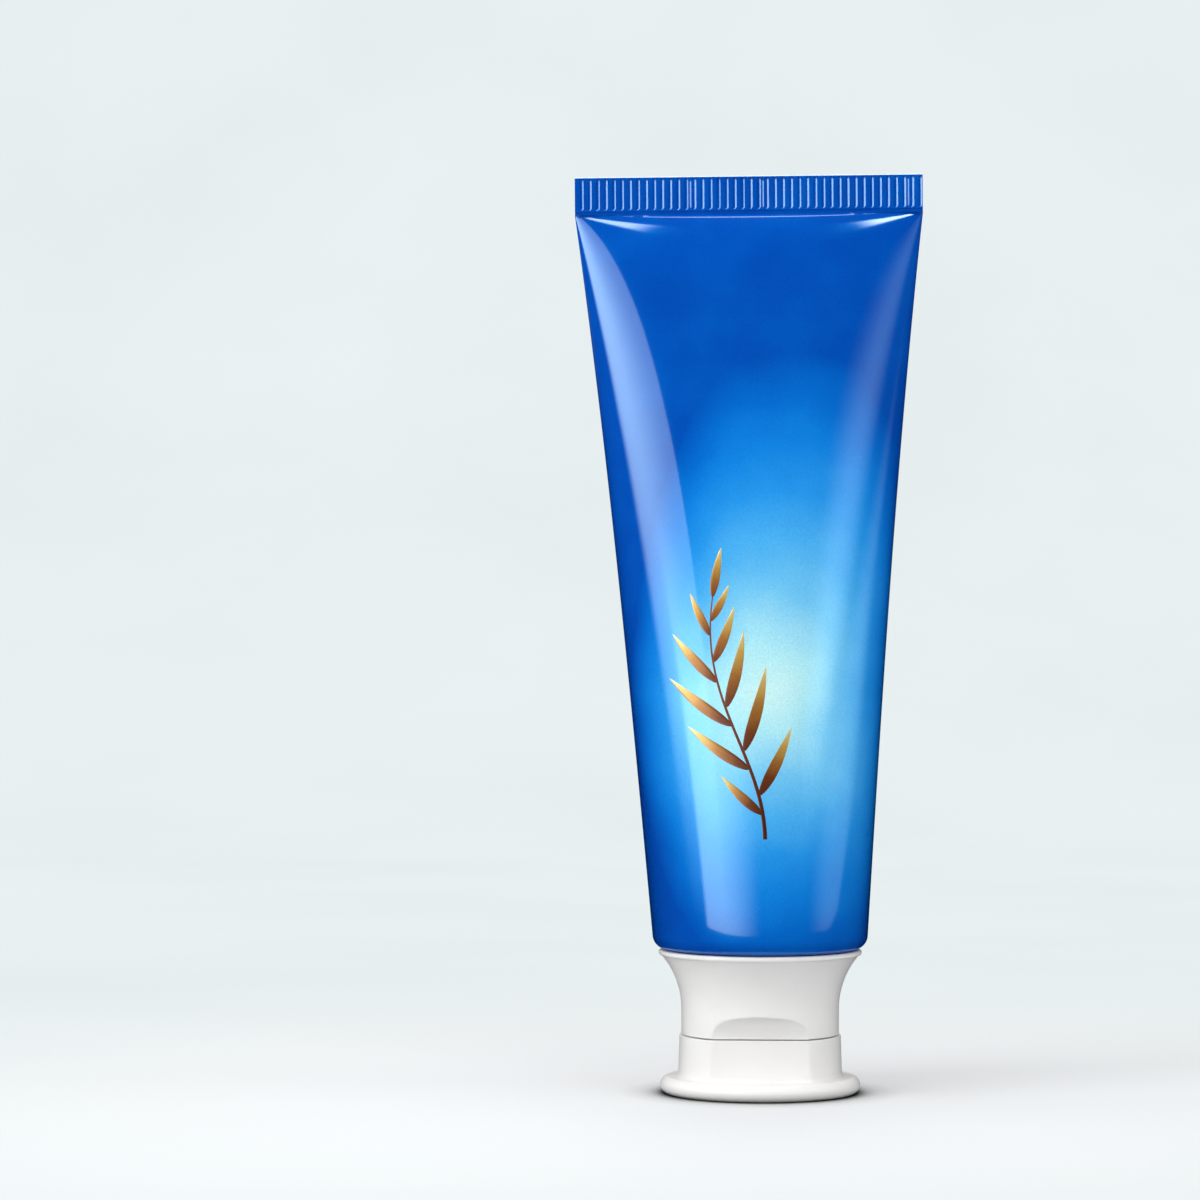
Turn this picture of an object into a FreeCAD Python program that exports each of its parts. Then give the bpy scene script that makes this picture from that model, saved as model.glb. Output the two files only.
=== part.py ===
import FreeCAD, Part
import math
import os
import re
import Sketcher
from FreeCAD import Vector

# A squeeze tube that stands on its flip-top cap, in millimetres.
# The origin is the centre of the lid's flat end, +Z runs up to the crimp and the thumb scoop faces -Y.

doc = FreeCAD.newDocument("squeeze_tube")
sheet = doc.addObject("Spreadsheet::Sheet", "Sizes")

SIZES = [
    # lid
    ("lid_top_radius", 13.1),
    ("lid_foot_radius", 13.3),
    ("lid_wall", 1.3),
    ("lid_floor", 1.5),
    ("lid_facet_depth", 10.5),
    ("lid_facet_round", 0.5),
    ("lid_facet_step", 0.06),
    ("flange_radius", 16.25),
    ("flange_thickness", 2.7),
    ("flange_fillet", 0.6),
    # parting line between lid and cap base
    ("parting_height", 9.5),
    ("parting_gap", 0.16),
    # cap base
    ("waist_radius", 12.8),
    ("waist_length", 4.0),
    ("rim_radius", 16.5),
    ("rim_thickness", 0.9),
    ("rim_clearance", 0.35),
    ("cap_wall", 1.2),
    ("deck_thickness", 1.5),
    ("scoop_radius", 3.9),
    ("scoop_depth", 10.1),
    ("spout_radius", 3.6),
    ("spout_bore", 2.2),
    ("spout_length", 3.5),
    ("nub_clearance", 0.2),
    ("nub_entry", 0.8),
    ("nub_taper", 0.35),
    # living hinge
    ("hinge_half_width", 4.5),
    ("hinge_clearance", 0.1),
    ("film_thickness", 0.4),
    ("film_half_length", 0.7),
    ("hinge_land_length", 1.6),
    # neck and shoulder
    ("neck_radius", 6.4),
    ("neck_bore", 4.2),
    ("thread_clearance", 0.08),
    ("socket_wall", 1.2),
    ("seat_clearance", 0.2),
    ("shoulder_height", 23.35),
    ("shoulder_thickness", 1.3),
    ("shoulder_rim", 1.5),
    ("weld_gap", 0.05),
    # sleeve
    ("tube_radius", 17.5),
    ("sleeve_wall", 0.35),
    ("corner_radius", 2.3),
    ("flap_width", 1.0),
    ("body_length", 117.2),
    ("lean", -1.85),
    ("width_curve", 1.25),
    ("depth_curve", 1.06),
    # crimp
    ("crimp_width", 56.6),
    ("crimp_length", 6.2),
    ("crimp_thickness", 0.9),
    ("crimp_tilt", 0.45),
    ("crimp_step", 0.55),
    ("crimp_border", 0.45),
    ("rib_pitch", 1.31),
    ("rib_groove", 0.98),
    ("rib_depth", 0.22),
    ("crimp_end_margin", 0.15),
    ("seal_length", 1.8),
    # fill
    ("fill_clearance", 0.1),
    ("fill_headspace", 6.0),
    # how far cuts run past the solid, and the least depth inside the sleeve's flat end
    ("cut_overshoot", 1.0),
    ("least_inside_depth", 0.15),
]

for row, (alias, number) in enumerate(SIZES, start=1):
    sheet.set(f"A{row}", alias)
    sheet.set(f"B{row}", str(number))
    sheet.setAlias(f"B{row}", alias)
doc.recompute()


ALIASES = {alias for alias, _ in SIZES}


def cell(text):
    # a formula with each size's name spelled the way the document reads it
    return re.sub(r"[a-z_]+", lambda m: f"Sizes.{m[0]}" if m[0] in ALIASES else m[0], text)


def value(text):
    return float(sheet.evalExpression(cell(text)))


def bind(thing, prop, text):
    thing.setExpression(prop, cell(text))


# Places that several pieces share, as formulas of the sizes above.
LID_TOP = "( parting_height - parting_gap / 2 )"
BASE_BOTTOM = "( parting_height + parting_gap / 2 )"
DECK_TOP = f"( {BASE_BOTTOM} + deck_thickness )"
FLARE_START = f"( {BASE_BOTTOM} + waist_length )"
RIM_TOP = "( shoulder_height - rim_clearance )"
SPOUT_TIP = f"( {BASE_BOTTOM} - spout_length )"
NECK_TIP = f"( {DECK_TOP} + seat_clearance )"
SOCKET_RADIUS = "( neck_radius + thread_clearance )"
SOCKET_OUTER = f"( {SOCKET_RADIUS} + socket_wall )"
SHOULDER_UNDER = "( shoulder_height + sleeve_wall + weld_gap )"
SHOULDER_TOP = f"( {SHOULDER_UNDER} + shoulder_thickness )"
BODY_START = "( shoulder_height + corner_radius )"
BODY_END = f"( {BODY_START} + body_length )"
CORNER_CENTRE = "( tube_radius - corner_radius )"
HINGE_Y = "( lid_top_radius + hinge_clearance )"
FILM_IN = f"( {HINGE_Y} - film_thickness / 2 )"
FILM_OUT = f"( {HINGE_Y} + film_thickness / 2 )"
LID_INSIDE = "( lid_top_radius - lid_wall )"
BASE_INSIDE = "( waist_radius - cap_wall )"


def new_body(name):
    body = doc.addObject("PartDesign::Body", name)
    body.Label = name
    return body


def sketch_on(body, name, role, height=None):
    # a sketch on one of the body's own origin planes, lifted along that plane's normal
    sketch = body.newObject("Sketcher::SketchObject", name)
    planes = [f for f in body.Origin.OriginFeatures if f.Role == role]
    sketch.AttachmentSupport = [(planes[0], "")]
    sketch.MapMode = "FlatFace"
    if height:
        bind(sketch, "AttachmentOffset.Base.z", height)
    return sketch


def fix_point(sketch, edge, end, place, name):
    # both coordinates of one corner follow their formulas
    for axis, formula in zip("XY", place):
        label = f"{name}{axis}"
        measure = Sketcher.Constraint(f"Distance{axis}", -1, 1, edge, end, value(formula))
        sketch.addConstraint(measure)
        sketch.renameConstraint(sketch.ConstraintCount - 1, label)
        bind(sketch, f"Constraints.{label}", formula)


def outline(sketch, corners, arcs=None, name="p"):
    # A closed outline through corners given as formulas. arcs maps a corner's number to
    # (radius formula, side) for the edge that leaves it: side 1 bulges left of the way, -1 right.
    arcs = arcs or {}
    points = [Vector(value(x), value(y), 0) for x, y in corners]
    edges = []
    for i, a in enumerate(points):
        b = points[(i + 1) % len(points)]
        if i not in arcs:
            edges.append(sketch.addGeometry(Part.LineSegment(a, b)))
            continue
        radius_formula, side = arcs[i]
        radius = value(radius_formula)
        chord = b - a
        half = chord.Length / 2
        rise = radius - max(radius**2 - half**2, 0) ** 0.5
        left = Vector(-chord.y, chord.x, 0).normalize()
        middle = (a + b) / 2 + left * (side * rise)
        edges.append(sketch.addGeometry(Part.Arc(a, middle, b)))
    ends = []
    for edge, a in zip(edges, points):
        first = 1 if (sketch.getPoint(edge, 1) - a).Length < 1e-6 else 2
        ends.append((first, 3 - first))
    for i, edge in enumerate(edges):
        following = (i + 1) % len(edges)
        join = Sketcher.Constraint("Coincident", edge, ends[i][1], edges[following], ends[following][0])
        sketch.addConstraint(join)
    for i, edge in enumerate(edges):
        fix_point(sketch, edge, ends[i][0], corners[i], f"{name}{i}")
        if i in arcs:
            label = f"{name}{i}Radius"
            sketch.addConstraint(Sketcher.Constraint("Radius", edge, value(arcs[i][0])))
            sketch.renameConstraint(sketch.ConstraintCount - 1, label)
            bind(sketch, f"Constraints.{label}", arcs[i][0])
    return edges


def circle(sketch, centre, radius, name="c"):
    place = Vector(value(centre[0]), value(centre[1]), 0)
    ring = sketch.addGeometry(Part.Circle(place, Vector(0, 0, 1), value(radius)))
    fix_point(sketch, ring, 3, centre, name)
    sketch.addConstraint(Sketcher.Constraint("Radius", ring, value(radius)))
    sketch.renameConstraint(sketch.ConstraintCount - 1, f"{name}Radius")
    bind(sketch, f"Constraints.{name}Radius", radius)


def truncated_circle(sketch, radius, chord, name="d"):
    # a circle about the axis with its front cut straight at y = -chord
    half = f"sqrt( {radius} ^ 2 - {chord} ^ 2 )"
    r = value(radius)
    c = value(chord)
    x = value(half)
    round_part = Part.Arc(Vector(x, -c, 0), Vector(0, r, 0), Vector(-x, -c, 0))
    arc = sketch.addGeometry(round_part)
    line = sketch.addGeometry(Part.LineSegment(Vector(-x, -c, 0), Vector(x, -c, 0)))
    sketch.addConstraint(Sketcher.Constraint("Coincident", arc, 2, line, 1))
    sketch.addConstraint(Sketcher.Constraint("Coincident", line, 2, arc, 1))
    sketch.addConstraint(Sketcher.Constraint("Coincident", arc, 3, -1, 1))
    sketch.addConstraint(Sketcher.Constraint("Horizontal", line))
    sketch.addConstraint(Sketcher.Constraint("Radius", arc, r))
    sketch.renameConstraint(sketch.ConstraintCount - 1, f"{name}Radius")
    bind(sketch, f"Constraints.{name}Radius", radius)
    sketch.addConstraint(Sketcher.Constraint("DistanceY", line, 1, -1, 1, c))
    sketch.renameConstraint(sketch.ConstraintCount - 1, f"{name}Chord")
    bind(sketch, f"Constraints.{name}Chord", chord)


def revolve(body, name, sketch, cut=False):
    kind = "PartDesign::Groove" if cut else "PartDesign::Revolution"
    feature = body.newObject(kind, name)
    feature.Profile = sketch
    feature.ReferenceAxis = (sketch, ["V_Axis"])
    feature.Angle = 360
    doc.recompute()
    return feature


def extrude(body, name, sketch, length, cut=False, centred=False, reverse=False):
    feature = body.newObject("PartDesign::Pocket" if cut else "PartDesign::Pad", name)
    feature.Profile = sketch
    before = body.Shape.Volume if cut else 0
    bind(feature, "Length", length)
    if centred:
        feature.SideType = "Symmetric"
    feature.Reversed = reverse
    doc.recompute()
    if cut and feature.Shape.Volume > before - 1e-6:
        raise RuntimeError(f"{name} cuts nothing")
    return feature


def rectangle(sketch, x0, x1, y0, y1, name="q"):
    outline(sketch, [(x0, y0), (x1, y0), (x1, y1), (x0, y1)], name=name)


# Lid: a slightly tapered cup on a round flange, its front cut flat, with the sealing nub inside.

lid = new_body("cap_lid")
profile = sketch_on(lid, "lid_profile", "XZ_Plane")
half_flange = "flange_thickness / 2"
outline(
    profile,
    [
        ("0", "0"),
        (f"flange_radius - {half_flange}", "0"),
        ("flange_radius", half_flange),
        (f"flange_radius - {half_flange}", "flange_thickness"),
        ("lid_foot_radius + flange_fillet", "flange_thickness"),
        ("lid_foot_radius", "flange_thickness + flange_fillet"),
        ("lid_top_radius", LID_TOP),
        ("0", LID_TOP),
    ],
    {1: (half_flange, -1), 2: (half_flange, -1), 4: ("flange_fillet", 1)},
)
revolve(lid, "lid_envelope", profile)

facet = sketch_on(lid, "facet_profile", "XY_Plane", "flange_thickness + lid_facet_step")
reach = "( lid_foot_radius + flange_fillet + cut_overshoot )"
rectangle(facet, f"0 - {reach}", reach, f"0 - {reach}", "0 - lid_facet_depth")
front_facet = extrude(lid, "front_facet", facet, LID_TOP, cut=True, reverse=True)

facet_edges = []
for number, edge in enumerate(lid.Shape.Edges, start=1):
    ends = [v.Point for v in edge.Vertexes]
    on_facet = all(abs(p.y + value("lid_facet_depth")) < 1e-4 for p in ends)
    if len(ends) == 2 and on_facet and abs(ends[0].z - ends[1].z) > value(LID_TOP) / 2:
        facet_edges.append(f"Edge{number}")
facet_round = lid.newObject("PartDesign::Fillet", "facet_rounds")
facet_round.Base = (front_facet, facet_edges)
bind(facet_round, "Radius", "lid_facet_round")
doc.recompute()

hollow = sketch_on(lid, "hollow_profile", "XY_Plane", "lid_floor")
truncated_circle(hollow, LID_INSIDE, "( lid_facet_depth - lid_wall )")
extrude(lid, "hollow", hollow, LID_TOP, cut=True, reverse=True)

hinge_seat = sketch_on(lid, "hinge_seat_profile", "XY_Plane", LID_TOP)
seat_half = "( hinge_half_width + hinge_clearance )"
rectangle(hinge_seat, f"0 - {seat_half}", seat_half, FILM_IN, "flange_radius")
extrude(lid, "hinge_seat", hinge_seat, "film_half_length - parting_gap / 2", cut=True)

land = sketch_on(lid, "lid_land_profile", "YZ_Plane")
lid_land_top = "( parting_height - film_half_length )"
outline(
    land,
    [
        (f"{LID_INSIDE} + lid_wall / 2", lid_land_top),
        (f"{LID_INSIDE} + lid_wall / 2", f"{lid_land_top} - hinge_land_length"),
        ("lid_top_radius", f"{lid_land_top} - hinge_land_length"),
        (FILM_OUT, f"{lid_land_top} - hinge_land_length / 2"),
        (FILM_OUT, lid_land_top),
    ],
)
extrude(lid, "lid_land", land, "2 * hinge_half_width", centred=True)

nub = sketch_on(lid, "nub_profile", "XZ_Plane")
nub_radius = "( spout_bore - nub_clearance )"
outline(
    nub,
    [
        ("0", "lid_floor / 2"),
        (nub_radius, "lid_floor / 2"),
        (nub_radius, SPOUT_TIP),
        (f"{nub_radius} - nub_taper", f"{SPOUT_TIP} + nub_entry"),
        ("0", f"{SPOUT_TIP} + nub_entry"),
    ],
)
revolve(lid, "sealing_nub", nub)

# Cap base: flared skirt, deck with the spout under it, and the socket that screws on the neck.

base = new_body("cap_base")
profile = sketch_on(base, "base_profile", "XZ_Plane")
half_rim = "rim_thickness / 2"
rim_centre = f"( rim_radius - {half_rim} )"
flare_rise = f"( {RIM_TOP} - rim_thickness - {FLARE_START} )"
flare_out = f"( {rim_centre} - waist_radius )"
flare_radius = f"( ( {flare_rise} ^ 2 + {flare_out} ^ 2 ) / ( 2 * {flare_out} ) )"
outline(
    profile,
    [
        ("spout_bore", SPOUT_TIP),
        ("spout_radius", SPOUT_TIP),
        ("spout_radius", BASE_BOTTOM),
        ("waist_radius", BASE_BOTTOM),
        ("waist_radius", FLARE_START),
        (rim_centre, f"{RIM_TOP} - rim_thickness"),
        ("rim_radius", f"{RIM_TOP} - {half_rim}"),
        (rim_centre, RIM_TOP),
        ("spout_bore", RIM_TOP),
    ],
    {4: (flare_radius, 1), 5: (half_rim, -1), 6: (half_rim, -1)},
)
revolve(base, "base_envelope", profile)

# The upper hollow follows the flare; the lower one leaves a wall behind the thumb scoop.
inner_mouth = "( rim_radius - cap_wall )"
inner_start = f"( {BASE_BOTTOM} + scoop_radius + cap_wall )"
inner_out = f"( {inner_mouth} - {BASE_INSIDE} )"
inner_rise = f"( {RIM_TOP} - {inner_start} )"
inner_radius = f"( ( {inner_rise} ^ 2 + {inner_out} ^ 2 ) / ( 2 * {inner_out} ) )"
upper = sketch_on(base, "upper_hollow_profile", "XZ_Plane")
outline(
    upper,
    [
        (SOCKET_OUTER, inner_start),
        (BASE_INSIDE, inner_start),
        (inner_mouth, RIM_TOP),
        (inner_mouth, f"{RIM_TOP} + cut_overshoot"),
        (SOCKET_OUTER, f"{RIM_TOP} + cut_overshoot"),
    ],
    {1: (inner_radius, 1)},
)
revolve(base, "upper_hollow", upper, cut=True)

lower = sketch_on(base, "lower_hollow_profile", "XY_Plane", DECK_TOP)
truncated_circle(lower, BASE_INSIDE, "( scoop_depth - cap_wall )")
circle(lower, ("0", "0"), SOCKET_OUTER)
extrude(base, "lower_hollow", lower, f"{inner_start} - {DECK_TOP}", cut=True, reverse=True)

socket = sketch_on(base, "socket_profile", "XY_Plane", DECK_TOP)
circle(socket, ("0", "0"), SOCKET_RADIUS)
socket_depth = f"{RIM_TOP} - {DECK_TOP} + cut_overshoot"
extrude(base, "neck_socket", socket, socket_depth, cut=True, reverse=True)

scoop = sketch_on(base, "scoop_profile", "YZ_Plane")
circle(scoop, ("0 - scoop_depth - scoop_radius", BASE_BOTTOM), "scoop_radius")
extrude(base, "thumb_scoop", scoop, "2 * rim_radius", cut=True, centred=True)

land = sketch_on(base, "base_land_profile", "YZ_Plane")
base_land_bottom = "( parting_height + film_half_length )"
outline(
    land,
    [
        (f"{BASE_INSIDE} + cap_wall / 2", base_land_bottom),
        (FILM_OUT, base_land_bottom),
        (FILM_OUT, f"{base_land_bottom} + hinge_land_length / 2"),
        ("waist_radius", f"{base_land_bottom} + hinge_land_length"),
        (f"{BASE_INSIDE} + cap_wall / 2", f"{base_land_bottom} + hinge_land_length"),
    ],
)
extrude(base, "base_land", land, "2 * hinge_half_width", centred=True)

# Living hinge: the film that bends between the two lands.

film = doc.addObject("Part::Box", "living_hinge")
bind(film, "Length", "2 * hinge_half_width")
bind(film, "Width", "film_thickness")
bind(film, "Height", "2 * film_half_length")
bind(film, "Placement.Base.x", "0 - hinge_half_width")
bind(film, "Placement.Base.y", FILM_IN)
bind(film, "Placement.Base.z", "parting_height - film_half_length")

# Tube head: shoulder plate with a short rim inside the sleeve, and the neck.

head = new_body("tube_head")
profile = sketch_on(head, "head_profile", "XZ_Plane")
head_radius = "( tube_radius - sleeve_wall - weld_gap )"
head_corner = f"( {head_radius} - {CORNER_CENTRE} )"
outline(
    profile,
    [
        ("neck_bore", NECK_TIP),
        ("neck_radius", NECK_TIP),
        ("neck_radius", SHOULDER_UNDER),
        (CORNER_CENTRE, SHOULDER_UNDER),
        (head_radius, BODY_START),
        (head_radius, f"{SHOULDER_TOP} + shoulder_rim"),
        (f"{head_radius} - shoulder_thickness", f"{SHOULDER_TOP} + shoulder_rim"),
        (f"{head_radius} - shoulder_thickness", SHOULDER_TOP),
        ("neck_bore", SHOULDER_TOP),
    ],
    {3: (head_corner, -1)},
)
revolve(head, "head_turned", profile)

# Sleeve: lofted from a round end to the flat crimp. The width grows along a curve and the depth
# shrinks with it, so that the way round the laminate stays nearly the same.

SECTIONS = 9


def section_step(i):
    # closer together at both ends, where the depth changes fastest
    return round((1 - math.cos(math.pi * i / SECTIONS)) / 2, 6)


def sleeve_loft(name, inset, start, end):
    # sections between two shares of the way up from the round end to the crimp
    sections = []
    for i in range(SECTIONS + 1):
        share = f"( {start} + ( {end} - {start} ) * {section_step(i)} )"
        width_share = f"( {share} ^ width_curve )"
        depth_share = f"sqrt( 1 - {share} ^ depth_curve )"
        ring = doc.addObject("Part::Ellipse", f"{name}_section_{i}")
        half_width = f"tube_radius + ( crimp_width / 2 - tube_radius ) * {width_share}"
        half_depth = f"crimp_thickness / 2 + ( tube_radius - crimp_thickness / 2 ) * {depth_share}"
        bind(ring, "MajorRadius", f"{half_width} - {inset}")
        bind(ring, "MinorRadius", f"max( {half_depth} - {inset} ; least_inside_depth )")
        bind(ring, "Placement.Base.x", f"lean * {share}")
        bind(ring, "Placement.Base.z", f"{BODY_START} + body_length * {share}")
        ring.Placement.Rotation = FreeCAD.Rotation(Vector(0, 1, 0), 0)
        bind(ring, "Placement.Rotation.Angle", f"0 - crimp_tilt * {share}")
        sections.append(ring)
    loft = doc.addObject("Part::Loft", name)
    loft.Sections = sections
    loft.Solid = True
    doc.recompute()
    return loft


outer_loft = sleeve_loft("sleeve_outside", "0", "0", "1")
inner_end = "( 1 - seal_length / body_length )"
inner_loft = sleeve_loft("sleeve_inside", "sleeve_wall", "0", inner_end)
wall = doc.addObject("Part::Cut", "sleeve_wall_shell")
wall.Base = outer_loft
wall.Tool = inner_loft

# The sleeve's lower end turns in over the shoulder.
flap = new_body("sleeve_flap")
profile = sketch_on(flap, "flap_profile", "XZ_Plane")
inner_corner = "( corner_radius - sleeve_wall )"
outline(
    profile,
    [
        (f"{CORNER_CENTRE} - flap_width", "shoulder_height"),
        (CORNER_CENTRE, "shoulder_height"),
        ("tube_radius", BODY_START),
        ("tube_radius - sleeve_wall", BODY_START),
        (CORNER_CENTRE, "shoulder_height + sleeve_wall"),
        (f"{CORNER_CENTRE} - flap_width", "shoulder_height + sleeve_wall"),
    ],
    {1: ("corner_radius", -1), 3: (inner_corner, 1)},
)
revolve(flap, "flap_turned", profile)

# The crimp: both walls welded flat and pressed with upright ribs on both faces.
crimp = new_body("crimp")
band = sketch_on(crimp, "band_profile", "XY_Plane")
half_band = "( crimp_width / 2 )"
half_thick = "( crimp_thickness / 2 )"
rectangle(band, f"0 - {half_band}", half_band, f"0 - {half_thick}", half_thick)
extrude(crimp, "band", band, "crimp_length")
groove_start = f"( crimp_end_margin - {half_band} )"
grooves = sketch_on(crimp, "groove_profile", "XY_Plane", "crimp_step")
for side, name in (("0 -", "f"), ("0 +", "b")):
    outline(
        grooves,
        [
            (groove_start, f"{side} {half_thick}"),
            (f"{groove_start} + rib_groove / 2", f"{side} ( {half_thick} - rib_depth )"),
            (f"{groove_start} + rib_groove", f"{side} {half_thick}"),
        ],
        name=name,
    )
groove = extrude(
    crimp, "groove", grooves, "crimp_length - crimp_step - crimp_border", cut=True, reverse=True
)
ribs = crimp.newObject("PartDesign::LinearPattern", "rib_grooves")
ribs.Originals = [groove]
ribs.Direction = (grooves, ["H_Axis"])
count = f"( floor( ( crimp_width - 2 * crimp_end_margin - rib_groove ) / rib_pitch ) + 1 )"
bind(ribs, "Occurrences", count)
bind(ribs, "Length", f"rib_pitch * ( {count} - 1 )")
crimp.Tip = ribs
crimp.Placement = FreeCAD.Placement(Vector(0, 0, 0), FreeCAD.Rotation(Vector(0, 1, 0), 0))
bind(crimp, "Placement.Base.x", "lean")
bind(crimp, "Placement.Base.z", BODY_END)
bind(crimp, "Placement.Rotation.Angle", "0 - crimp_tilt")
doc.recompute()

sleeve = doc.addObject("Part::MultiFuse", "tube_sleeve")
sleeve.Shapes = [wall, flap, crimp]
doc.recompute()

# Toothpaste: fills the sleeve, the shoulder and the neck's bore.

fill_split = f"( {SHOULDER_TOP} + shoulder_rim + fill_clearance )"
fill_start = f"( ( {fill_split} - {BODY_START} ) / body_length )"
fill_end = "( 1 - fill_headspace / body_length )"
fill_top = sleeve_loft("fill_upper", "( sleeve_wall + fill_clearance )", fill_start, fill_end)
fill_low = new_body("fill_lower")
profile = sketch_on(fill_low, "fill_profile", "XZ_Plane")
fill_radius = f"( {head_radius} - shoulder_thickness - fill_clearance )"
fill_bore = "( neck_bore - fill_clearance )"
outline(
    profile,
    [
        ("0", NECK_TIP),
        (fill_bore, NECK_TIP),
        (fill_bore, f"{SHOULDER_TOP} + fill_clearance"),
        (fill_radius, f"{SHOULDER_TOP} + fill_clearance"),
        (fill_radius, f"{fill_split} + shoulder_rim"),
        ("0", f"{fill_split} + shoulder_rim"),
    ],
)
revolve(fill_low, "fill_turned", profile)
paste = doc.addObject("Part::Fuse", "toothpaste")
paste.Base = fill_top
paste.Tool = fill_low
doc.recompute()

NODES = [sleeve, head, paste, base, film, lid]

faulty = [o.Name for o in doc.Objects if "Invalid" in o.State or "Error" in o.State]
if faulty:
    raise RuntimeError(f"these features failed: {faulty}")
for node in NODES:
    shape = node.Shape
    if shape.isNull() or not shape.isValid() or not shape.Solids:
        raise RuntimeError(f"{node.Label} has no valid solid")

os.makedirs("parts", exist_ok=True)
for node in NODES:
    node.Shape.exportStep(f"parts/{node.Label}.step")
    box = node.Shape.BoundBox
    print(
        node.Label,
        len(node.Shape.Solids),
        "solid",
        round(node.Shape.Volume),
        "mm3, z",
        round(box.ZMin, 2),
        "to",
        round(box.ZMax, 2),
    )
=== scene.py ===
import math
import random

import bmesh
import bpy
from mathutils import Matrix, Vector


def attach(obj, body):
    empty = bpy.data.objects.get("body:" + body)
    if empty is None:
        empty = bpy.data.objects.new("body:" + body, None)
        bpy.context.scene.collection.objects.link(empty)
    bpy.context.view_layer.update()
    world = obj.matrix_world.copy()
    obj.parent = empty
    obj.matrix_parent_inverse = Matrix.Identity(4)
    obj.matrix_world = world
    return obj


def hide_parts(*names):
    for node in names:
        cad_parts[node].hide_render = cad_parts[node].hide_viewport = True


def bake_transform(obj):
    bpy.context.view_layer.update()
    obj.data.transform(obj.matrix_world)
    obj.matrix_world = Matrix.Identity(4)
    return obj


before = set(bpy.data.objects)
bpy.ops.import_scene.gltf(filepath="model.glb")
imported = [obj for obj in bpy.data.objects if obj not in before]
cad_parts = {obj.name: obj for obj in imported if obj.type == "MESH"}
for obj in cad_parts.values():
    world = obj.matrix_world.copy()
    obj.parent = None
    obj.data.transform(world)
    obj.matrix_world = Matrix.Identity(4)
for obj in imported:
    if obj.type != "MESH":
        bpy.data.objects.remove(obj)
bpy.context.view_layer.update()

mm = 0.001  # pieces are worked out in millimetres and scaled once when they are finished
mergeReach = 0.002
tiny = 0.001  # how near a height has to be to another one to be the same


def smoothStep(low, high, x):
    share = min(max((x - low) / (high - low), 0), 1)
    return share * share * (3 - 2 * share)


def mixed(a, b, share):
    return a + (b - a) * share


def softMax(a, b, reach):
    overlap = max(reach - abs(a - b), 0) / reach  # rounds the crease where the two meet
    return max(a, b) + overlap * overlap * reach / 4


def tone(red, green, blue):
    steps = [c / 255 for c in (red, green, blue)]
    linear = [c / 12.92 if c <= 0.04045 else ((c + 0.055) / 1.055) ** 2.4 for c in steps]
    return (*linear, 1)


class Wire:
    # one socket of a material's nodes, which Python's own operators work on

    def __init__(self, tree, socket=None):
        self.tree = tree
        self.socket = socket

    def feed(self, socket, value):
        if isinstance(value, Wire):
            self.tree.links.new(value.socket, socket)
        else:
            socket.default_value = value

    def make(self, kind, settings=None, sockets=None, out=0):
        node = self.tree.nodes.new(kind)
        for name, setting in (settings or {}).items():
            if name == "stops":
                ramp = node.color_ramp
                for element, (place, colour) in zip(ramp.elements, (setting[0], setting[-1])):
                    element.position = place
                    element.color = colour
                for place, colour in setting[1:-1]:
                    ramp.elements.new(place).color = colour
            else:
                setattr(node, name, setting)
        for name, value in (sockets or {}).items():
            self.feed(node.inputs[name], value)
        return Wire(self.tree, node.outputs[out])

    def maths(self, operation, *values):
        return self.make("ShaderNodeMath", {"operation": operation}, dict(enumerate(values)))

    def __add__(self, other):
        return self.maths("ADD", self, other)

    __radd__ = __add__

    def __mul__(self, other):
        return self.maths("MULTIPLY", self, other)

    __rmul__ = __mul__

    def __sub__(self, other):
        return self.maths("SUBTRACT", self, other)

    def __rsub__(self, other):
        return self.maths("SUBTRACT", other, self)

    def __truediv__(self, other):
        return self.maths("DIVIDE", self, other)

    def __pow__(self, other):
        return self.maths("POWER", self, other)

    def clipped(self):
        return self.make("ShaderNodeClamp", None, {"Value": self})

    def stepped(self, low, high, rest=0.0):
        # rises smoothly from rest at low to 1 at high
        return self.make(
            "ShaderNodeMapRange",
            {"interpolation_type": "SMOOTHSTEP"},
            {"Value": self, "From Min": low, "From Max": high, "To Min": rest},
        )

    def between(self, low, high):
        # the colour this share of the way from low to high
        return self.make(
            "ShaderNodeMix", {"data_type": "RGBA"}, {"Factor": self, 6: low, 7: high}, out=2
        )


def newFinish(name, colour, roughness, settings):
    # a Principled material; settings holds what is the same all over the surface
    material = bpy.data.materials.new(name)
    material.use_nodes = True
    tree = material.node_tree
    shader = tree.nodes["Principled BSDF"]
    shader.inputs["Base Color"].default_value = colour
    shader.inputs["Roughness"].default_value = roughness
    for socket, value in settings.items():
        shader.inputs[socket].default_value = value
    return material, Wire(tree), shader


def places(wire):
    # the piece's own coordinates in millimetres, as three wires
    coordinates = wire.make("ShaderNodeTexCoord", out="Object")
    scaled = wire.make(
        "ShaderNodeVectorMath", {"operation": "SCALE"}, {0: coordinates, "Scale": 1 / mm}
    )
    parts = wire.make("ShaderNodeSeparateXYZ", None, {0: scaled})
    node = parts.socket.node
    return scaled, [Wire(wire.tree, node.outputs[i]) for i in range(3)]


def speckle(wire, where, size, detail=2.0):
    # noise of about the given size in millimetres, centred on zero
    noise = wire.make(
        "ShaderNodeTexNoise", None, {"Vector": where, "Scale": 1 / size, "Detail": detail}
    )
    return noise - 0.5


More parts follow.
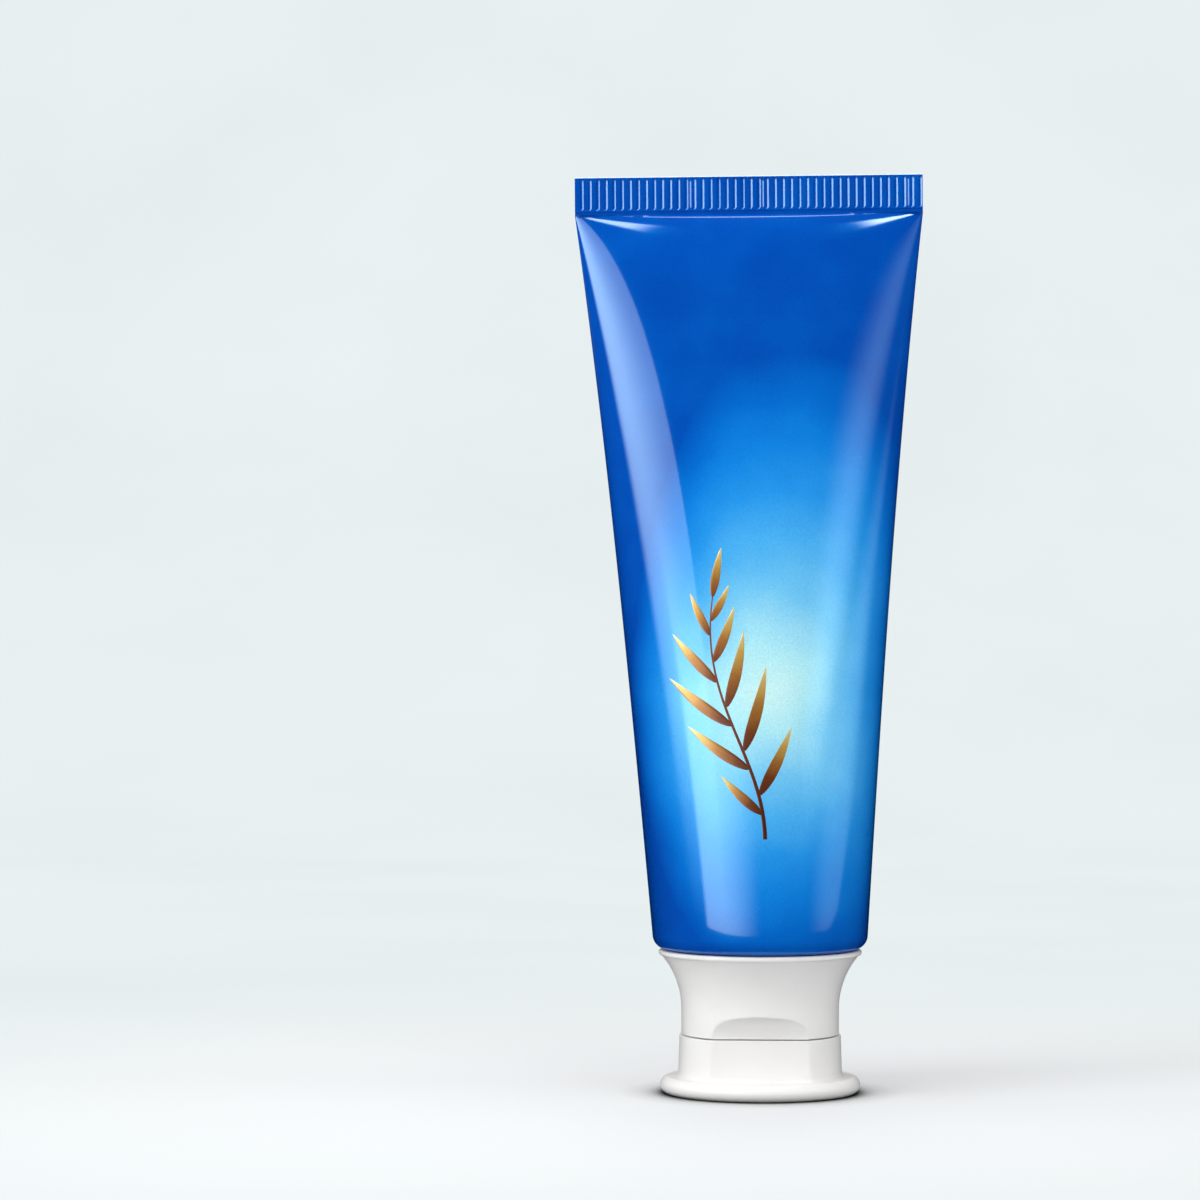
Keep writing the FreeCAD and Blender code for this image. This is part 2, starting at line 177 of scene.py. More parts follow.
laminate = {
    "glowCentre": (0.5, 65.0),
    "glowLeanUp": 0.1,  # how far it leans right for each millimetre away from its centre
    "glowLeanDown": 0.09,
    "glowLeft": 22.5,
    "glowRight": 24.0,
    "glowPower": 1.6,
    "glowUp": 55.0,
    "glowDown": 44.0,
    "glowSide": -9.0,  # where it starts to fade round the side, and over how far
    "glowRound": 16.0,
    "stops": [
        (0.0, tone(208, 250, 252)),
        (0.117, tone(180, 240, 252)),
        (0.27, tone(118, 204, 250)),
        (0.405, tone(76, 178, 246)),
        (0.522, tone(40, 152, 238)),
        (0.648, tone(18, 130, 226)),
        (0.765, tone(6, 107, 208)),
        (0.9, tone(3, 78, 183)),
        (1.0, tone(2, 66, 168)),
    ],
    "deepest": 0.9,  # place among the stops where the glow ends
    "roughness": 0.16,
    "flakeSize": 0.24,
    "flakeStrength": 0.42,
    "flakeRoughness": 0.08,
    "cloudSize": 11.0,
    "cloudStrength": 0.15,
    "glossLow": 23.9,  # the lacquer thins out round the lower corner, between these heights
    "glossHigh": 24.9,
}

blueLaminate, wire, shader = newFinish(
    "printedBlueLaminate",
    tone(4, 82, 186),
    laminate["roughness"],
    {
        "Metallic": 0.06,
        "IOR": 1.65,
        "Specular Tint": (0.0, 0.75, 1.0, 1.0),
        "Coat Weight": 1.0,
        "Coat Roughness": 0.05,
        "Coat IOR": 1.8,
    },
)
where, (x, y, z) = places(wire)
glowX, glowZ = laminate["glowCentre"]
above = wire.maths("GREATER_THAN", z, glowZ)
leanUp, leanDown = laminate["glowLeanUp"], laminate["glowLeanDown"]
offCentre = x - glowX - (z - glowZ) * (above * (leanUp + leanDown) - leanDown)
rightOf = wire.maths("GREATER_THAN", offCentre, 0.0)
perLeft, perRight = 1 / laminate["glowLeft"], 1 / laminate["glowRight"]
perDown, perUp = 1 / laminate["glowDown"], 1 / laminate["glowUp"]
sideways = wire.maths("ABSOLUTE", offCentre) * (rightOf * (perRight - perLeft) + perLeft)
sideways = sideways ** laminate["glowPower"]
upwards = (z - glowZ) * (above * (perUp - perDown) + perDown)
roundways = wire.maths("MAXIMUM", y - laminate["glowSide"], 0.0) / laminate["glowRound"]
distance = (sideways * sideways + upwards * upwards + roundways * roundways) ** 0.5
cloud = speckle(wire, where, laminate["cloudSize"]) * laminate["cloudStrength"]
stopPlace = distance.clipped() * laminate["deepest"] + cloud
printed = wire.make(
    "ShaderNodeValToRGB", {"stops": laminate["stops"]}, {"Fac": stopPlace.clipped()}
)
flakes = speckle(wire, where, laminate["flakeSize"])
flakeLight = wire.make(
    "ShaderNodeCombineXYZ", None, dict.fromkeys(range(3), 1 + flakes * laminate["flakeStrength"])
)
flakeTone = wire.make(
    "ShaderNodeMix",
    {"data_type": "RGBA", "blend_type": "MULTIPLY"},
    {"Factor": 1.0, 6: printed, 7: flakeLight},
    out=2,
)
wire.feed(shader.inputs["Base Color"], flakeTone)
wire.feed(shader.inputs["Coat Weight"], z.stepped(laminate["glossLow"], laminate["glossHigh"]))
wire.feed(shader.inputs["Roughness"], laminate["roughness"] + flakes * laminate["flakeRoughness"])

# pale laminate for the sleeve's lining and the cut layers of its top edge; on the crimp it also
# reaches a little down the outer rounding as a painted highlight line
liningAndHighlightTones = {
    "tone": tone(205, 222, 240),
    "blue": tone(170, 200, 235),
    "pale": tone(232, 240, 248),
    "size": 0.3,
    "roughness": 0.4,
    "coat": 0.3,
}

liningAndEdgeHighlight, wire, shader = newFinish(
    "laminateLiningAndPaintedEdgeHighlight", liningAndHighlightTones["tone"], liningAndHighlightTones["roughness"], {"Coat Weight": liningAndHighlightTones["coat"]}
)
where, _ = places(wire)
layer = (0.5 + speckle(wire, where, liningAndHighlightTones["size"])).clipped()
wire.feed(shader.inputs["Base Color"], layer.between(liningAndHighlightTones["blue"], liningAndHighlightTones["pale"]))

foil = {
    "tone": tone(176, 116, 48),
    "stops": [
        (0.0, tone(92, 40, 18)),
        (0.3, tone(124, 62, 26)),
        (0.55, tone(176, 116, 48)),
        (0.78, tone(222, 178, 92)),
        (0.9, tone(240, 210, 132)),
        (1.0, tone(250, 232, 178)),
    ],
    "mottle": 0.14,
    "mottleSize": 2.4,
    "roughness": 0.3,
    "roughnessDrift": 0.15,
    "grainSize": 0.2,
}

goldFoil, wire, shader = newFinish(
    "goldFoilPrint",
    foil["tone"],
    foil["roughness"],
    {"Metallic": 0.45, "Coat Weight": 0.8, "Coat Roughness": 0.06},
)
where, _ = places(wire)
along = wire.make("ShaderNodeAttribute", {"attribute_name": "along"}, out="Fac")
sheen = speckle(wire, where, foil["mottleSize"]) * foil["mottle"]
wire.feed(
    shader.inputs["Base Color"],
    wire.make("ShaderNodeValToRGB", {"stops": foil["stops"]}, {"Fac": (along + sheen).clipped()}),
)
grain = speckle(wire, where, foil["grainSize"])
wire.feed(shader.inputs["Roughness"], foil["roughness"] + grain * foil["roughnessDrift"])

moulding = {
    "cloudSize": 7.0,
    "cloudRoughness": 0.1,
    "grainSize": 0.09,
    "grainRoughness": 0.08,
    "bumpDepth": 0.04,
    "bumpStrength": 0.3,
}

capPlastic = {
    "light": tone(243, 241, 240),
    "dark": tone(236, 234, 233),
    "roughness": 0.32,
    "coat": 0.3,
}

neckPlastic = {
    "light": tone(236, 236, 230),
    "dark": tone(226, 227, 222),
    "roughness": 0.5,
    "coat": 0.0,
}


def mouldedPlastic(name, light, dark, roughness, coat):
    # one moulding's colour drifts a little, and the tool's fine texture shows close up
    material, wire, shader = newFinish(
        name, light, roughness, {"Coat Weight": coat, "Coat Roughness": 0.15, "IOR": 1.49}
    )
    where, _ = places(wire)
    cloud = speckle(wire, where, moulding["cloudSize"])
    grain = speckle(wire, where, moulding["grainSize"])
    wire.feed(shader.inputs["Base Color"], (0.5 + cloud).clipped().between(light, dark))
    drift = cloud * moulding["cloudRoughness"] + grain * moulding["grainRoughness"]
    wire.feed(shader.inputs["Roughness"], roughness + drift)
    bump = wire.make(
        "ShaderNodeBump",
        None,
        {
            "Strength": moulding["bumpStrength"],
            "Distance": moulding["bumpDepth"] * mm,
            "Height": grain,
        },
    )
    wire.feed(shader.inputs["Normal"], bump)
    return material


whitePlastic = mouldedPlastic("whiteSatinPlastic", **capPlastic)
headPlastic = mouldedPlastic("milkyHeadPlastic", **neckPlastic)

paste = {
    "tone": tone(232, 244, 242),
    "deep": tone(214, 238, 236),
    "pale": tone(244, 250, 249),
    "roughness": 0.35,
    "coat": 0.4,
    "swirlSize": 6.0,
    "swirlDetail": 4.0,
    "swirlContrast": 2,
    "bumpDepth": 0.2,
    "bumpStrength": 0.4,
}

pasteFinish, wire, shader = newFinish(
    "mintPaste", paste["tone"], paste["roughness"], {"Coat Weight": paste["coat"]}
)
where, _ = places(wire)
swirl = speckle(wire, where, paste["swirlSize"], paste["swirlDetail"])
streak = (0.5 + swirl * paste["swirlContrast"]).clipped()
wire.feed(shader.inputs["Base Color"], streak.between(paste["deep"], paste["pale"]))
bump = wire.make(
    "ShaderNodeBump",
    None,
    {"Strength": paste["bumpStrength"], "Distance": paste["bumpDepth"] * mm, "Height": swirl},
)
wire.feed(shader.inputs["Normal"], bump)
print("finishes are ready")


def finishPiece(bm, name, body, materials, sharpAngle=35):
    # joins doubles, turns faces outwards, scales to metres and hangs the piece on its body
    bmesh.ops.remove_doubles(bm, verts=bm.verts, dist=mergeReach)
    bmesh.ops.recalc_face_normals(bm, faces=bm.faces)
    bmesh.ops.scale(bm, vec=(mm, mm, mm), verts=bm.verts)
    mesh = bpy.data.meshes.new(name)
    bm.to_mesh(mesh)
    bm.free()
    for material in materials:
        mesh.materials.append(material)
    mesh.shade_smooth()
    mesh.set_sharp_from_angle(angle=math.radians(sharpAngle))
    piece = bpy.data.objects.new(name, mesh)
    bpy.context.scene.collection.objects.link(piece)
    if body:
        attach(piece, body)
    return piece


def growRing(bm, ring, number, place, finish=0):
    # extrudes an open ring of edges and puts each new vertex where its column number says
    grown = bmesh.ops.extrude_edge_only(bm, edges=ring)["geom"]
    for part in grown:
        if isinstance(part, bmesh.types.BMVert):
            part.co = place(part[number])
    edges = [p for p in grown if isinstance(p, bmesh.types.BMEdge) and p.is_boundary]
    for edge in edges:
        for face in edge.link_faces:
            face.material_index = finish
    return edges


def ringStack(columnCount, rows, place):
    # a skin through all rows; each row is (finish, data) and place(column, data) gives a point
    bm = bmesh.new()
    number = bm.verts.layers.int.new("number")
    bmesh.ops.create_circle(bm, cap_ends=False, radius=1, segments=columnCount)
    bm.verts.ensure_lookup_table()
    for i, vertex in enumerate(bm.verts):
        vertex[number] = i
        vertex.co = place(i, rows[0][1])
    ring = bm.edges[:]
    for finish, data in rows[1:]:
        ring = growRing(bm, ring, number, lambda i, data=data: place(i, data), finish)
    return bm


sleeve = {
    "radius": 17.5,
    "wall": 0.35,
    "cornerRadius": 2.3,
    "cornerRows": 7,
    "shoulder": 23.35,
    "flapWidth": 1.0,
    "length": 117.2,
    "lean": -1.85,
    "widthStraight": 0.82,  # share of its widening that is even, and the curve of the rest
    "widthCurve": 2.8,
    "depthCurve": 1.06,
    "rows": 48,
    "insideRows": 16,
    "sealLength": 1.8,
    "crimpWidth": 56.6,
    "crimpDepth": 0.45,
    "crimpTilt": math.radians(0.45),
    "flatFrom": 0.7,  # shares of the length where its columns start to spread evenly
    "squareFrom": 0.9985,  # and where its oval section turns into the crimp's flat one
    "squareness": 42,
    "edgeColumns": (0.03, 0.09),
}

ribs = {
    "pitch": 1.31,
    "count": 43,
    "depth": 0.22,
    "margin": 0.15,
    "shape": (0, 0, 0, 0, 0.1, 0.85, 1, 0.4),
    "doubled": (0, 0, 0.4, 0, 0.1, 0.85, 1, 0.4),
    "doubledAt": (14, 23, 41),
    "middle": 6,  # the deepest column of the shape, and how many columns its sides are away
    "halfWidth": 2,
    "bottom": 0.6,
    "bottomFade": 0.5,
    "bottomHip": 0.12,  # how much sooner the sides of a groove end than its middle
    "top": 5.92,
    "topFade": 0.2,
    "topHip": 0.36,
    "unevenness": 0.1,
    "thinnest": 0.2,  # rows of the crimp that are thinner have no grooves
}

# height above the body and half thickness of each row of the crimp
crimpRows = [
    (0.06, 0.3),
    (0.28, 0.29),
    (0.5, 0.3),
    (0.56, 0.44),
    (0.62, 0.45),
    (0.7, 0.45),
    (0.78, 0.45),
    (0.86, 0.45),
    (0.94, 0.45),
    (1.04, 0.45),
    (1.16, 0.45),
    (1.8, 0.45),
    (2.8, 0.45),
    (3.8, 0.45),
    (4.7, 0.45),
    (5.2, 0.45),
    (5.36, 0.45),
    (5.5, 0.45),
    (5.62, 0.45),
    (5.74, 0.45),
    (5.86, 0.45),
    (5.96, 0.45),
    (6.04, 0.44),
    (6.1, 0.41),
    (6.15, 0.35),
    (6.18, 0.25),
    (6.2, 0.12),
    (6.2, 0.0),
]

bodyStart = sleeve["shoulder"] + sleeve["cornerRadius"]
bodyEnd = bodyStart + sleeve["length"]
# crimp rows above this height take the pale finish: the laminate's cut layers, with a thin painted
# highlight line just below them
paleEdgeAndHighlightHeight = 6.08
halfCrimp = sleeve["crimpWidth"] / 2
perRib = len(ribs["shape"])
ribStart = ribs["margin"] - halfCrimp
ribColumns = [ribStart + ribs["pitch"] / perRib * i for i in range(ribs["count"] * perRib + 1)]
leftColumns = [-halfCrimp + gap for gap in sleeve["edgeColumns"]]
frontColumns = leftColumns + ribColumns + [halfCrimp - sleeve["edgeColumns"][0]]
ribNumbers = [None] * len(leftColumns) + list(range(len(ribColumns))) + [None]
frontSide = [(x / halfCrimp, -1, n) for x, n in zip(frontColumns, ribNumbers)]
backSide = [(x, 1, n) for x, _, n in reversed(frontSide)]
columns = [(-1, 0, None)] + frontSide + [(1, 0, None)] + backSide

random.seed(7)
ribStrength = [
    [1 + random.uniform(-1, 1) * ribs["unevenness"] for _ in range(ribs["count"] + 1)]
    for side in range(2)
]


def grooveDepth(number, side, height):
    rib, column = divmod(number, perRib)
    shape = ribs["doubled"] if rib in ribs["doubledAt"] else ribs["shape"]
    offMiddle = min(abs(column - ribs["middle"]) / ribs["halfWidth"], 1)
    top = ribs["top"] - ribs["topHip"] * offMiddle
    bottom = ribs["bottom"] + ribs["bottomHip"] * offMiddle
    start = smoothStep(bottom, bottom + ribs["bottomFade"], height)
    end = 1 - smoothStep(top - ribs["topFade"], top, height)
    strength = ribStrength[0 if side < 0 else 1][rib]
    return ribs["depth"] * shape[column] * start * end * strength


def bodyRow(share, inset=0.0):
    widened = mixed(share ** sleeve["widthCurve"], share, sleeve["widthStraight"])
    width = sleeve["radius"] + (halfCrimp - sleeve["radius"]) * widened
    fullness = math.sqrt(max(1 - share ** sleeve["depthCurve"], 0))
    depth = sleeve["crimpDepth"] + (sleeve["radius"] - sleeve["crimpDepth"]) * fullness
    return {
        "z": bodyStart + sleeve["length"] * share,
        "width": width - inset,
        "depth": max(depth - inset, 0),
        "centre": sleeve["lean"] * share,
        "turn": sleeve["crimpTilt"] * share,
        "flat": smoothStep(sleeve["flatFrom"], 1, share),
        "square": 2 + sleeve["squareness"] * smoothStep(sleeve["squareFrom"], 1, share),
        "height": None,
    }


def roundRow(radius, z):
    return {**bodyRow(0), "width": radius, "depth": radius, "z": z}


def crimpRow(height, depth):
    tilt = sleeve["crimpTilt"]
    return {
        **bodyRow(1),
        "z": bodyEnd + height * math.cos(tilt),
        "centre": sleeve["lean"] - height * math.sin(tilt),
        "depth": depth,
        "height": height,
    }


def tilted(row, x, y):
    turn = row["turn"]
    return Vector((row["centre"] + x * math.cos(turn), y, row["z"] + x * math.sin(turn)))


def sleevePoint(column, row):
    place, side, number = columns[column]
    across = mixed(math.sin(place * math.pi / 2), place, row["flat"])
    depth = row["depth"] * (1 - abs(across) ** row["square"]) ** (1 / row["square"])
    if row["height"] is not None and number is not None and depth > ribs["thinnest"]:
        depth -= grooveDepth(number, side, row["height"])
    return tilted(row, across * row["width"], side * depth)


def cornerRows(radius, z):
    # rows of the rounded lower corner, from the flap's level up to the body
    centre = sleeve["radius"] - sleeve["cornerRadius"]
    steps = [math.pi / 2 * i / sleeve["cornerRows"] for i in range(sleeve["cornerRows"] + 1)]
    return [
        roundRow(centre + radius * math.sin(a), z + radius - radius * math.cos(a)) for a in steps
    ]


# the rows run down the inside, round the flap at the shoulder and up the outside to the cut edge
paleFinish, blueFinish = 1, 0
wall = sleeve["wall"]
insideEnd = 1 - sleeve["sealLength"] / sleeve["length"]
insideSteps = [i / sleeve["insideRows"] for i in range(1, sleeve["insideRows"])]
insideShares = [insideEnd * (1 - step**2) for step in insideSteps]
outsideShares = [1 - (1 - i / sleeve["rows"]) ** 2 for i in range(1, sleeve["rows"] + 1)]
flapEdge = sleeve["radius"] - sleeve["cornerRadius"] - sleeve["flapWidth"]
insideCorner = cornerRows(sleeve["cornerRadius"] - wall, sleeve["shoulder"] + wall)
sleeveRows = [(paleFinish, {**bodyRow(insideEnd, wall), "depth": 0})]
sleeveRows += [(paleFinish, bodyRow(share, wall)) for share in insideShares]
sleeveRows += [(paleFinish, row) for row in reversed(insideCorner)]
sleeveRows += [(paleFinish, roundRow(flapEdge, sleeve["shoulder"] + wall))]
sleeveRows += [(paleFinish, roundRow(flapEdge, sleeve["shoulder"]))]
outsideCorner = cornerRows(sleeve["cornerRadius"], sleeve["shoulder"])
sleeveRows += [(blueFinish, row) for row in outsideCorner]
sleeveRows += [(blueFinish, bodyRow(share)) for share in outsideShares]
# the crimp's top rows are pale, partly its cut edge and partly a painted highlight along the top
sleeveRows += [
    (paleFinish if height > paleEdgeAndHighlightHeight else blueFinish, crimpRow(height, depth))
    for height, depth in crimpRows
]
bm = ringStack(len(columns), sleeveRows, sleevePoint)
sleeveSkin = finishPiece(bm, "sleeveSkin", "tube", [blueLaminate, liningAndEdgeHighlight], 21)
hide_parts("tube_sleeve")
print("sleeve is made")


sprig = {
    "stem": ((0.8, 42.0), (0.6, 55.5), (-10.0, 63.5), (-7.6, 80.5)),
    "stemWidth": (0.42, 0.12),
    # share up the stem, side, length, half width, angle off the stem in degrees, bend
    "leaves": [
        (0.10, 1, 9.0, 0.95, 44, -0.10),
        (0.18, -1, 12.0, 1.10, 46, 0.10),
        (0.30, 1, 12.0, 1.10, 42, -0.12),
        (0.38, -1, 14.0, 1.15, 44, 0.12),
        (0.50, 1, 12.5, 1.10, 38, -0.12),
        (0.58, -1, 12.5, 1.10, 40, 0.12),
        (0.69, 1, 10.5, 1.00, 34, -0.10),
        (0.77, -1, 9.5, 0.95, 36, 0.10),
        (0.87, 1, 7.5, 0.80, 28, -0.08),
        (0.92, -1, 6.5, 0.75, 30, 0.08),
        (1.00, 1, 8.0, 0.85, 0, -0.03),
    ],
    "leafSteps": (26, 6),
    "leafEnd": 0.06,  # half width that a leaf starts and ends with, and that of its last row
    "leafTip": 0.03,
    "leafBelly": 0.72,  # below 1 moves the widest place towards the root
    "leafFullness": 0.9,
    "lift": 0.035,
    "sink": 0.03,
    "sinkCurve": 6,
    "ridge": 1.15,
    "thickness": 0.05,
    # places among the foil's stops
    "stemTones": (0.0, 0.35),
    "rootTone": 0.28,
}


def stemPlace(share):
    a, b, c, d = (Vector(p) for p in sprig["stem"])
    rest = 1 - share
    place = a * rest**3 + b * 3 * rest**2 * share + c * 3 * rest * share**2 + d * share**3
    way = (b - a) * rest**2 + (c - b) * 2 * rest * share + (d - c) * share**2
    return place, way.normalized()


def onFront(x, z, lift):
    share = (z - bodyStart) / sleeve["length"]
    row = bodyRow(share)
    across = (x - row["centre"]) / row["width"]
    depth = row["depth"] * math.sqrt(1 - across * across)
    return Vector((x, -depth - lift, z))


def printLeaf(bm, attribute, centre, halfWidth, tones):
    # a slender sheet with a low ridge each side of its vein, laid on the sleeve
    alongSteps, acrossSteps = sprig["leafSteps"]
    made = bmesh.ops.create_grid(bm, x_segments=alongSteps, y_segments=acrossSteps, size=1)
    for vertex in made["verts"]:
        share = (vertex.co.x + 1) / 2
        across = vertex.co.y
        place, way = centre(share)
        side = Vector((-way.y, way.x))
        flat = place + side * across * halfWidth(share)
        ridge = math.sin(math.pi * min(abs(across) * sprig["ridge"], 1)) * 0.5 + 0.5
        lift = mixed(sprig["lift"] * ridge, -sprig["sink"], abs(across) ** sprig["sinkCurve"])
        vertex.co = onFront(flat.x, flat.y, lift)
        vertex[attribute] = mixed(tones[0], tones[1], share)


bm = bmesh.new()
attribute = bm.verts.layers.float.new("along")
stemFrom, stemTo = sprig["stemWidth"]
printLeaf(bm, attribute, stemPlace, lambda s: mixed(stemFrom, stemTo, s), sprig["stemTones"])
for share, side, length, width, angle, bend in sprig["leaves"]:
    root, stemWay = stemPlace(share)
    turn = math.atan2(stemWay.y, stemWay.x) + math.radians(angle) * side
    way = Vector((math.cos(turn), math.sin(turn)))
    aside = Vector((-way.y, way.x))

    def leafPlace(s, root=root, way=way, aside=aside, length=length, bend=bend):
        place = root + way * (s * length) + aside * (bend * s * s * length)
        return place, (way + aside * (2 * bend * s)).normalized()

    def leafWidth(s, width=width):
        if not 0 < s < 1:
            return sprig["leafTip"]
        bulge = math.sin(math.pi * s ** sprig["leafBelly"]) ** sprig["leafFullness"]
        return mixed(sprig["leafEnd"], width, bulge)

    printLeaf(bm, attribute, leafPlace, leafWidth, (sprig["rootTone"] * share, 1.0))
bmesh.ops.solidify(bm, geom=bm.faces[:], thickness=sprig["thickness"])
sprigPrint = finishPiece(bm, "sprigPrint", "tube", [goldFoil], 60)
print("sprig is made")


def drawLine(bm, points, closed=False):
    vertices = [bm.verts.new(point) for point in points]
    following = vertices[1:] + vertices[:1] if closed else vertices[1:]
    return [bm.edges.new(pair) for pair in zip(vertices, following)]


def spinLine(bm, steps):
    bmesh.ops.spin(
        bm,
        geom=bm.verts[:] + bm.edges[:],
        cent=(0, 0, 0),
        axis=(0, 0, 1),
        dvec=(0, 0, 0),
        angle=2 * math.pi,
        steps=steps,
        use_merge=True,
        use_normal_flip=False,
        use_duplicate=False,
    )


def roundedLine(corners, steps=5):
    # (radius, height, rounding) corners to points, each rounded one as a short curve
    points = []
    for i, (r, z, rounding) in enumerate(corners):
        corner = Vector((r, z))
        if not rounding:
            points.append(corner)
            continue
        before = Vector(corners[i - 1][:2]) - corner
        after = Vector(corners[(i + 1) % len(corners)][:2]) - corner
        a = corner + before.normalized() * min(rounding, before.length * 0.49)
        b = corner + after.normalized() * min(rounding, after.length * 0.49)
        for k in range(steps + 1):
            s = k / steps
            points.append(a * (1 - s) ** 2 + corner * 2 * s * (1 - s) + b * s**2)
    return points


def arcLine(start, end, radius, side, count):
    # corners along an arc, with its ends; side 1 bulges left of the way, -1 right
    a, b = Vector(start), Vector(end)
    chord = b - a
    left = Vector((-chord.y, chord.x)).normalized()
    middle = (a + b) / 2 - left * side * math.sqrt(radius**2 - chord.length_squared / 4)
    first = math.atan2(a.y - middle.y, a.x - middle.x)
    turn = 2 * math.asin(chord.length / 2 / radius) * -side
    angles = [first + turn * i / count for i in range(count + 1)]
    return [(middle.x + radius * math.cos(t), middle.y + radius * math.sin(t), 0) for t in angles]


def turnedShell(corners, closed, wallFrom, wallStep, steps, carve):
    # outside the radius wallFrom the profile gets rows every wallStep, for what is carved there
    bm = bmesh.new()
    points = roundedLine(corners)
    line = []
    for i, point in enumerate(points):
        following = points[(i + 1) % len(points)]
        onWall = point.x > wallFrom and following.x > wallFrom
        cuts = int((following - point).length / wallStep) if onWall and i + 1 < len(points) else 0
        line += [point.lerp(following, k / (cuts + 1)) for k in range(cuts + 1)]
    drawLine(bm, [(p.x, 0, p.y) for p in line], closed)
    spinLine(bm, steps)
    bmesh.ops.remove_doubles(bm, verts=bm.verts, dist=mergeReach)
    for vertex in bm.verts:
        carve(vertex.co)
    return bm


cap = {
    "partingLow": 9.42,
    "partingHigh": 9.58,
    "columns": 360,
    "edgeRound": 0.16,
}

lid = {
    "topRadius": 13.1,
    "footRadius": 13.3,
    "flangeRadius": 16.25,
    "flangeThickness": 2.7,
    "fillet": 0.6,
    "inside": 11.8,
    "insideFrom": 10.8,  # the inner skin of its wall lies between these two radii
    "insideTo": 12.4,
    "floor": 1.5,
    "floorRound": 0.25,
    "floorRow": 8.4,
    "facet": 10.5,
    "facetRound": 0.3,
    "insideFacet": 9.2,
    "landFrom": 3.7,
    "nubRadius": 2.0,
    "nubRoot": 0.3,
    "nubTip": 6.88,
    "nubTipRadius": 1.65,
    "nubFlatRadius": 0.8,
    "nubShoulder": 6.08,
    "nubRound": 0.2,
    "rowsFrom": 12.6,
    "rowStep": 0.22,
}

hinge = {
    "halfWidth": 4.5,
    "clearance": 0.12,
    "filmIn": 13.0,
    "filmOut": 13.4,
    "filmLow": 8.8,
    "filmHigh": 10.2,
    "filmRows": 15,
    "filmWaist": 0.35,  # share of its thickness that it lacks in the middle
    "landLength": 1.6,
    "landEdge": 0.1,
    "seatGap": 0.02,
}


def landReach(z, wall):
    # how far the thick land beside the film stands out at a height, from its own end of the film
    length = hinge["landLength"]
    away = max(hinge["filmLow"] - z, z - hinge["filmHigh"])
    if away < 0 or away > length:
        return wall
    return mixed(hinge["filmOut"], wall, smoothStep(length / 2, length, away))


def raiseLand(p, wall):
    start, end = hinge["halfWidth"] - hinge["landEdge"], hinge["halfWidth"] + hinge["landEdge"]
    inLand = 1 - smoothStep(start, end, abs(p.x))
    p.y = mixed(p.y, max(p.y, landReach(p.z, wall)), inLand)


def carveLid(p):
    radius = math.hypot(p.x, p.y)
    outside = radius > lid["insideTo"]
    foot = lid["flangeThickness"]
    if p.y < 0 and outside and p.z > foot + tiny:
        up = max(foot + lid["fillet"] - p.z, 0)
        spread = lid["fillet"] - math.sqrt(max(lid["fillet"] ** 2 - up**2, 0))
        p.y = softMax(p.y, -lid["facet"] - spread, lid["facetRound"])
    elif p.y < 0 and p.z > lid["floor"] - tiny and lid["insideFrom"] < radius < lid["insideTo"]:
        p.y = softMax(p.y, -lid["insideFacet"], lid["facetRound"])
    if p.y > 0 and outside and p.z > lid["landFrom"]:
        raiseLand(p, lid["topRadius"])
        seatEdge = hinge["halfWidth"] + hinge["clearance"]
        if abs(p.x) < seatEdge and p.z > hinge["filmLow"] + hinge["seatGap"]:
            p.y = min(p.y, hinge["filmIn"] - hinge["seatGap"])


top = cap["partingLow"]
half = lid["flangeThickness"] / 2
flangeCentre = lid["flangeRadius"] - half
edge = cap["edgeRound"]
# a corner without rounding that lies on a straight line only adds a row there
lidCorners = [(0, 0, 0), (6, 0, 0), (12, 0, 0)]
thickness = lid["flangeThickness"]
lidCorners += arcLine((flangeCentre, 0), (flangeCentre, thickness), half + 1e-6, -1, 16)
foot = lid["footRadius"]
fillet = lid["fillet"]
lidCorners += [(foot + fillet + 0.5, thickness, 0)]
lidCorners += arcLine((foot + fillet, thickness), (foot, thickness + fillet), fillet, 1, 8)
lidCorners += [
    (lid["topRadius"], top, edge),
    (lid["inside"], top, edge),
    (lid["inside"], lid["floor"], lid["floorRound"]),
    (lid["floorRow"], lid["floor"], 0),
    (lid["nubRadius"], lid["floor"], lid["nubRoot"]),
    (lid["nubRadius"], lid["nubShoulder"], lid["nubRound"]),
    (lid["nubTipRadius"], lid["nubTip"], lid["nubRound"]),
    (lid["nubFlatRadius"], lid["nubTip"], 0),
    (0, lid["nubTip"], 0),
]
bm = turnedShell(lidCorners, False, lid["rowsFrom"], lid["rowStep"], cap["columns"], carveLid)
capLidShell = finishPiece(bm, "capLidShell", "lid", [whitePlastic])
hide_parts("cap_lid")
print("lid is made")

base = {
    "waist": 12.8,
    "flareStart": 13.58,
    "rimCentre": (16.05, 22.83),
    "rimRound": 0.45,
    "mouth": 15.3,
    "top": 23.28,
    "inside": 11.6,
    "insideFrom": 11.0,  # the inner skin of its wall lies between these two radii
    "insideTo": 12.1,
    "insideStart": 14.68,
    "insideFacet": 8.9,
    "deck": 11.08,
    "socketOut": 7.68,
    "socketIn": 6.48,
    "spoutRadius": 3.6,
    "spoutBore": 2.2,
    "spoutTip": 6.08,
    "spoutRoot": 0.3,
    "undersideRow": 9.4,
    "scoopRadius": 3.9,
    "scoopAxis": 14.0,
    "scoopRound": 0.15,
    "rowsFrom": 12.4,
    "rowStep": 0.18,
}


def flareRadius(start, end):
    # of the arc from start to end that starts off upright
    out, rise = end[0] - start[0], end[1] - start[1]
    return (rise**2 + out**2) / (2 * out)


